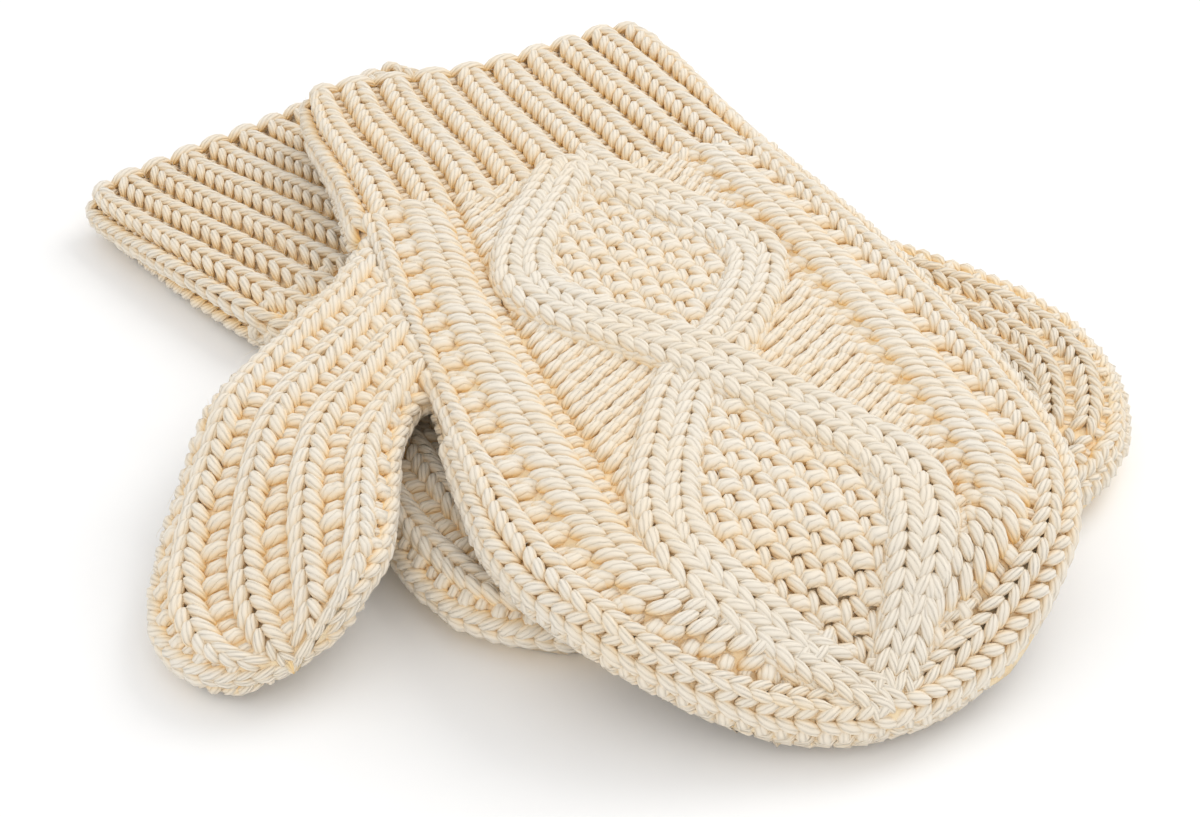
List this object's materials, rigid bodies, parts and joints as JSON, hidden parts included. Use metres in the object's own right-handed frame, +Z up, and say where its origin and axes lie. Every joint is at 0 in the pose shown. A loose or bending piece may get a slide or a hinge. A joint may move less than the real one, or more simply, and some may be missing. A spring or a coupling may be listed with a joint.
{
  "type": "pair of cable-knit mittens",
  "caption": "Chunky hand-knitted mittens lying one across the other, with rib cuffs, a diamond cable between twisted ropes on the backs and broken-rib palms.",
  "frame": {"origin": "middle of the pair's outline, on the surface that it lies on", "axes": "+X to the right in the picture, +Y away from the camera, +Z up"},
  "size_m": [0.2574, 0.2662, 0.0337],
  "materials": {
    "upper_cuff_wool": "soft plied cream wool",
    "upper_back_wool": "soft plied cream wool",
    "upper_palm_wool": "soft plied cream wool",
    "upper_thumb_wool": "soft plied cream wool",
    "lower_cuff_wool": "soft plied cream wool",
    "lower_back_wool": "soft plied cream wool",
    "lower_palm_wool": "soft plied cream wool",
    "lower_thumb_wool": "soft plied cream wool"
  },
  "bodies": {
    "root": {"upper_cuff": "upper_cuff_wool", "upper_back": "upper_back_wool", "upper_palm": "upper_palm_wool", "upper_thumb": "upper_thumb_wool", "lower_cuff": "lower_cuff_wool", "lower_back": "lower_back_wool", "lower_palm": "lower_palm_wool", "lower_thumb": "lower_thumb_wool"}
  },
  "joints": []
}
